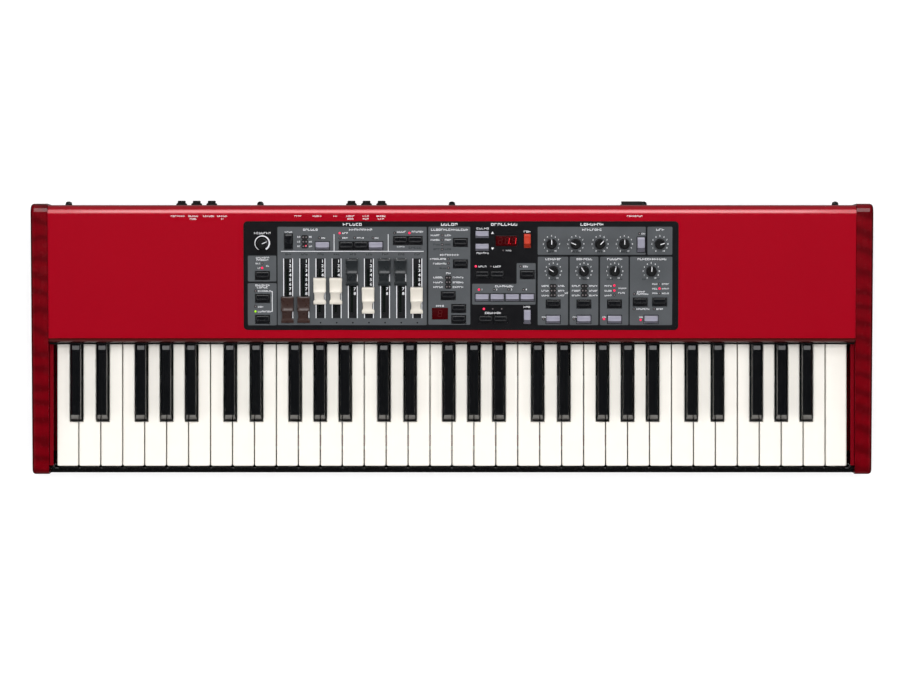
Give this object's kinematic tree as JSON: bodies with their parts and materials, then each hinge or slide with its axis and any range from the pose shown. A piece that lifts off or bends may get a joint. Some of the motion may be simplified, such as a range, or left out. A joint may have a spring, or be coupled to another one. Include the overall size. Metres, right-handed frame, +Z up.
{
  "type": "stage keyboard",
  "caption": "Compact stage keyboard with wooden cheeks, a sloped red case, hinged piano keys and a black control fascia with knobs, push buttons and sliding drawbars.",
  "frame": {"origin": "under the middle of the whole instrument, on the surface that its feet stand on", "axes": "+X from the lowest key to the highest, +Y from the player to the rear sockets, +Z up"},
  "size_m": [0.9, 0.2942, 0.1067],
  "materials": {
    "cheek_lacquer": "gloss red lacquer over a wavy grain",
    "case_paint": "satin red paint",
    "slip_paint": "satin black",
    "fascia_film": "matt printed film",
    "white_key": "polished",
    "black_key": "satin",
    "frame_steel": "zinc plated",
    "spring_steel": "bright",
    "felt": "dense felt",
    "contact_rubber": "moulded",
    "circuit_board": "solder resist",
    "socket_black": "moulded",
    "rocker_black": "moulded",
    "knob_black": "fine matt",
    "drawbar_brown": "satin",
    "drawbar_cream": "satin",
    "drawbar_black": "satin",
    "cap_black": "satin",
    "cap_grey": "satin",
    "cap_red": "satin"
  },
  "bodies": {
    "case": {"base_pan": "case_paint", "contact_board": "circuit_board", "contact_strip": "contact_rubber", "control_board": "circuit_board", "control_fascia": "fascia_film", "key_frame": "frame_steel", "key_slip": "slip_paint", "key_springs": "spring_steel", "left_cheek": "cheek_lacquer", "mains_inlet": "socket_black", "right_cheek": "cheek_lacquer", "socket_board": "socket_black", "stop_felt": "felt", "switch_housing": "socket_black", "top_panel": "case_paint"},
    "bass_knob_body": {"bass_knob": "knob_black"},
    "compressor_knob_body": {"compressor_knob": "knob_black"},
    "delay_knob_body": {"delay_knob": "knob_black"},
    "drawbar_1_body": {"drawbar_1": "drawbar_brown"},
    "drawbar_2_body": {"drawbar_2": "drawbar_brown"},
    "drawbar_3_body": {"drawbar_3": "drawbar_cream"},
    "drawbar_4_body": {"drawbar_4": "drawbar_cream"},
    "drawbar_5_body": {"drawbar_5": "drawbar_black"},
    "drawbar_6_body": {"drawbar_6": "drawbar_cream"},
    "drawbar_7_body": {"drawbar_7": "drawbar_black"},
    "drawbar_8_body": {"drawbar_8": "drawbar_black"},
    "drawbar_9_body": {"drawbar_9": "drawbar_cream"},
    "effect_buttons_body": {"effect_buttons": "cap_black"},
    "effect_on_buttons_body": {"effect_on_buttons": "cap_grey"},
    "effect_one_knob_body": {"effect_one_knob": "knob_black"},
    "effect_two_knob_body": {"effect_two_knob": "knob_black"},
    "equaliser_on_button_body": {"equaliser_on_button": "cap_grey"},
    "gain_knob_body": {"gain_knob": "knob_black"},
    "left_buttons_body": {"left_buttons": "cap_black"},
    "master_level_knob_body": {"master_level_knob": "knob_black"},
    "mid_frequency_knob_body": {"mid_frequency_knob": "knob_black"},
    "mid_knob_body": {"mid_knob": "knob_black"},
    "octave_1_black_keys_body": {"octave_1_black_keys": "black_key"},
    "octave_1_cegb_keys_body": {"octave_1_cegb_keys": "white_key"},
    "octave_1_dfa_keys_body": {"octave_1_dfa_keys": "white_key"},
    "octave_2_black_keys_body": {"octave_2_black_keys": "black_key"},
    "octave_2_cegb_keys_body": {"octave_2_cegb_keys": "white_key"},
    "octave_2_dfa_keys_body": {"octave_2_dfa_keys": "white_key"},
    "octave_3_black_keys_body": {"octave_3_black_keys": "black_key"},
    "octave_3_cegb_keys_body": {"octave_3_cegb_keys": "white_key"},
    "octave_3_dfa_keys_body": {"octave_3_dfa_keys": "white_key"},
    "octave_4_black_keys_body": {"octave_4_black_keys": "black_key"},
    "octave_4_cegb_keys_body": {"octave_4_cegb_keys": "white_key"},
    "octave_4_dfa_keys_body": {"octave_4_dfa_keys": "white_key"},
    "octave_5_black_keys_body": {"octave_5_black_keys": "black_key"},
    "octave_5_cegb_keys_body": {"octave_5_cegb_keys": "white_key"},
    "octave_5_dfa_keys_body": {"octave_5_dfa_keys": "white_key"},
    "organ_buttons_body": {"organ_buttons": "cap_black"},
    "piano_buttons_body": {"piano_buttons": "cap_black"},
    "power_rocker_body": {"power_rocker": "rocker_black"},
    "program_buttons_body": {"program_buttons": "cap_grey"},
    "select_buttons_body": {"select_buttons": "cap_black"},
    "store_button_body": {"store_button": "cap_red"},
    "top_c_key_body": {"top_c_key": "white_key"},
    "treble_knob_body": {"treble_knob": "knob_black"}
  },
  "joints": [
    {"name": "bass_knob_turn", "type": "hinge", "parent": "case", "child": "bass_knob_body", "pos_m": [0.18405, 0.09902, 0.09373], "axis": [0, -0.0872, 0.9962], "range_deg": [-150, 150]},
    {"name": "compressor_knob_turn", "type": "hinge", "parent": "case", "child": "compressor_knob_body", "pos_m": [0.1738, 0.07013, 0.09121], "axis": [0, -0.0872, 0.9962], "range_deg": [-138, 162]},
    {"name": "delay_knob_turn", "type": "hinge", "parent": "case", "child": "delay_knob_body", "pos_m": [0.2129, 0.07013, 0.09121], "axis": [0, -0.0872, 0.9962], "range_deg": [-147, 153]},
    {"name": "drawbar_1_pull", "type": "slide", "parent": "case", "child": "drawbar_1_body", "axis": [0, -0.9962, -0.0872], "range_m": [-0.04, 0]},
    {"name": "drawbar_2_pull", "type": "slide", "parent": "case", "child": "drawbar_2_body", "axis": [0, -0.9962, -0.0872], "range_m": [-0.04, 0]},
    {"name": "drawbar_3_pull", "type": "slide", "parent": "case", "child": "drawbar_3_body", "axis": [0, -0.9962, -0.0872], "range_m": [-0.02, 0.02]},
    {"name": "drawbar_4_pull", "type": "slide", "parent": "case", "child": "drawbar_4_body", "axis": [0, -0.9962, -0.0872], "range_m": [-0.02, 0.02]},
    {"name": "drawbar_5_pull", "type": "slide", "parent": "case", "child": "drawbar_5_body", "axis": [0, -0.9962, -0.0872], "range_m": [0, 0.04]},
    {"name": "drawbar_6_pull", "type": "slide", "parent": "case", "child": "drawbar_6_body", "axis": [0, -0.9962, -0.0872], "range_m": [-0.03, 0.01]},
    {"name": "drawbar_7_pull", "type": "slide", "parent": "case", "child": "drawbar_7_body", "axis": [0, -0.9962, -0.0872], "range_m": [0, 0.04]},
    {"name": "drawbar_8_pull", "type": "slide", "parent": "case", "child": "drawbar_8_body", "axis": [0, -0.9962, -0.0872], "range_m": [0, 0.04]},
    {"name": "drawbar_9_pull", "type": "slide", "parent": "case", "child": "drawbar_9_body", "axis": [0, -0.9962, -0.0872], "range_m": [-0.03, 0.01]},
    {"name": "effect_buttons_press", "type": "slide", "parent": "case", "child": "effect_buttons_body", "axis": [0, 0.0872, -0.9962], "range_m": [0, 0.0006], "stiffness_N_per_m": 600, "springref_m": -0.001},
    {"name": "effect_on_buttons_press", "type": "slide", "parent": "case", "child": "effect_on_buttons_body", "axis": [0, 0.0872, -0.9962], "range_m": [0, 0.0006], "stiffness_N_per_m": 600, "springref_m": -0.001},
    {"name": "effect_one_knob_turn", "type": "hinge", "parent": "case", "child": "effect_one_knob_body", "pos_m": [0.1082, 0.07013, 0.09121], "axis": [0, -0.0872, 0.9962], "range_deg": [-208, 92]},
    {"name": "effect_two_knob_turn", "type": "hinge", "parent": "case", "child": "effect_two_knob_body", "pos_m": [0.141, 0.07013, 0.09121], "axis": [0, -0.0872, 0.9962], "range_deg": [-184, 116]},
    {"name": "equaliser_on_button_press", "type": "slide", "parent": "case", "child": "equaliser_on_button_body", "axis": [0, 0.0872, -0.9962], "range_m": [0, 0.0006], "stiffness_N_per_m": 600, "springref_m": -0.001},
    {"name": "gain_knob_turn", "type": "hinge", "parent": "case", "child": "gain_knob_body", "pos_m": [0.222, 0.09902, 0.09373], "axis": [0, -0.0872, 0.9962], "range_deg": [-78, 222]},
    {"name": "left_buttons_press", "type": "slide", "parent": "case", "child": "left_buttons_body", "axis": [0, 0.0872, -0.9962], "range_m": [0, 0.0006], "stiffness_N_per_m": 600, "springref_m": -0.001},
    {"name": "master_level_knob_turn", "type": "hinge", "parent": "case", "child": "master_level_knob_body", "pos_m": [-0.2025, 0.09982, 0.0938], "axis": [0, -0.0872, 0.9962], "range_deg": [-84, 216]},
    {"name": "mid_frequency_knob_turn", "type": "hinge", "parent": "case", "child": "mid_frequency_knob_body", "pos_m": [0.1581, 0.09902, 0.09373], "axis": [0, -0.0872, 0.9962], "range_deg": [-107, 193]},
    {"name": "mid_knob_turn", "type": "hinge", "parent": "case", "child": "mid_knob_body", "pos_m": [0.13215, 0.09902, 0.09373], "axis": [0, -0.0872, 0.9962], "range_deg": [-220, 80]},
    {"name": "octave_1_black_keys_press", "type": "hinge", "parent": "case", "child": "octave_1_black_keys_body", "pos_m": [0, 0.058, 0.056], "axis": [1, 0, 0], "range_deg": [0, 2.9], "stiffness_Nm_per_rad": 1.8, "springref_deg": -11.46},
    {"name": "octave_1_cegb_keys_press", "type": "hinge", "parent": "case", "child": "octave_1_cegb_keys_body", "pos_m": [0, 0.058, 0.056], "axis": [1, 0, 0], "range_deg": [0, 2.9], "stiffness_Nm_per_rad": 1.8, "springref_deg": -11.46},
    {"name": "octave_1_dfa_keys_press", "type": "hinge", "parent": "case", "child": "octave_1_dfa_keys_body", "pos_m": [0, 0.058, 0.056], "axis": [1, 0, 0], "range_deg": [0, 2.9], "stiffness_Nm_per_rad": 1.8, "springref_deg": -11.46},
    {"name": "octave_2_black_keys_press", "type": "hinge", "parent": "case", "child": "octave_2_black_keys_body", "pos_m": [0, 0.058, 0.056], "axis": [1, 0, 0], "range_deg": [0, 2.9], "stiffness_Nm_per_rad": 1.8, "springref_deg": -11.46},
    {"name": "octave_2_cegb_keys_press", "type": "hinge", "parent": "case", "child": "octave_2_cegb_keys_body", "pos_m": [0, 0.058, 0.056], "axis": [1, 0, 0], "range_deg": [0, 2.9], "stiffness_Nm_per_rad": 1.8, "springref_deg": -11.46},
    {"name": "octave_2_dfa_keys_press", "type": "hinge", "parent": "case", "child": "octave_2_dfa_keys_body", "pos_m": [0, 0.058, 0.056], "axis": [1, 0, 0], "range_deg": [0, 2.9], "stiffness_Nm_per_rad": 1.8, "springref_deg": -11.46},
    {"name": "octave_3_black_keys_press", "type": "hinge", "parent": "case", "child": "octave_3_black_keys_body", "pos_m": [0, 0.058, 0.056], "axis": [1, 0, 0], "range_deg": [0, 2.9], "stiffness_Nm_per_rad": 1.8, "springref_deg": -11.46},
    {"name": "octave_3_cegb_keys_press", "type": "hinge", "parent": "case", "child": "octave_3_cegb_keys_body", "pos_m": [0, 0.058, 0.056], "axis": [1, 0, 0], "range_deg": [0, 2.9], "stiffness_Nm_per_rad": 1.8, "springref_deg": -11.46},
    {"name": "octave_3_dfa_keys_press", "type": "hinge", "parent": "case", "child": "octave_3_dfa_keys_body", "pos_m": [0, 0.058, 0.056], "axis": [1, 0, 0], "range_deg": [0, 2.9], "stiffness_Nm_per_rad": 1.8, "springref_deg": -11.46},
    {"name": "octave_4_black_keys_press", "type": "hinge", "parent": "case", "child": "octave_4_black_keys_body", "pos_m": [0, 0.058, 0.056], "axis": [1, 0, 0], "range_deg": [0, 2.9], "stiffness_Nm_per_rad": 1.8, "springref_deg": -11.46},
    {"name": "octave_4_cegb_keys_press", "type": "hinge", "parent": "case", "child": "octave_4_cegb_keys_body", "pos_m": [0, 0.058, 0.056], "axis": [1, 0, 0], "range_deg": [0, 2.9], "stiffness_Nm_per_rad": 1.8, "springref_deg": -11.46},
    {"name": "octave_4_dfa_keys_press", "type": "hinge", "parent": "case", "child": "octave_4_dfa_keys_body", "pos_m": [0, 0.058, 0.056], "axis": [1, 0, 0], "range_deg": [0, 2.9], "stiffness_Nm_per_rad": 1.8, "springref_deg": -11.46},
    {"name": "octave_5_black_keys_press", "type": "hinge", "parent": "case", "child": "octave_5_black_keys_body", "pos_m": [0, 0.058, 0.056], "axis": [1, 0, 0], "range_deg": [0, 2.9], "stiffness_Nm_per_rad": 1.8, "springref_deg": -11.46},
    {"name": "octave_5_cegb_keys_press", "type": "hinge", "parent": "case", "child": "octave_5_cegb_keys_body", "pos_m": [0, 0.058, 0.056], "axis": [1, 0, 0], "range_deg": [0, 2.9], "stiffness_Nm_per_rad": 1.8, "springref_deg": -11.46},
    {"name": "octave_5_dfa_keys_press", "type": "hinge", "parent": "case", "child": "octave_5_dfa_keys_body", "pos_m": [0, 0.058, 0.056], "axis": [1, 0, 0], "range_deg": [0, 2.9], "stiffness_Nm_per_rad": 1.8, "springref_deg": -11.46},
    {"name": "organ_buttons_press", "type": "slide", "parent": "case", "child": "organ_buttons_body", "axis": [0, 0.0872, -0.9962], "range_m": [0, 0.0006], "stiffness_N_per_m": 600, "springref_m": -0.001},
    {"name": "piano_buttons_press", "type": "slide", "parent": "case", "child": "piano_buttons_body", "axis": [0, 0.0872, -0.9962], "range_m": [0, 0.0006], "stiffness_N_per_m": 600, "springref_m": -0.001},
    {"name": "power_rocker_tilt", "type": "hinge", "parent": "case", "child": "power_rocker_body", "pos_m": [0.1942, 0.1387, 0.035], "axis": [1, 0, 0], "range_deg": [-14, 0]},
    {"name": "program_buttons_press", "type": "slide", "parent": "case", "child": "program_buttons_body", "axis": [0, 0.0872, -0.9962], "range_m": [0, 0.0006], "stiffness_N_per_m": 600, "springref_m": -0.001},
    {"name": "select_buttons_press", "type": "slide", "parent": "case", "child": "select_buttons_body", "axis": [0, 0.0872, -0.9962], "range_m": [0, 0.0006], "stiffness_N_per_m": 600, "springref_m": -0.001},
    {"name": "store_button_press", "type": "slide", "parent": "case", "child": "store_button_body", "axis": [0, 0.0872, -0.9962], "range_m": [0, 0.0006], "stiffness_N_per_m": 600, "springref_m": -0.001},
    {"name": "top_c_key_press", "type": "hinge", "parent": "case", "child": "top_c_key_body", "pos_m": [0, 0.058, 0.056], "axis": [1, 0, 0], "range_deg": [0, 2.9], "stiffness_Nm_per_rad": 0.45, "springref_deg": -11.46},
    {"name": "treble_knob_turn", "type": "hinge", "parent": "case", "child": "treble_knob_body", "pos_m": [0.1062, 0.09902, 0.09373], "axis": [0, -0.0872, 0.9962], "range_deg": [-150, 150]}
  ]
}
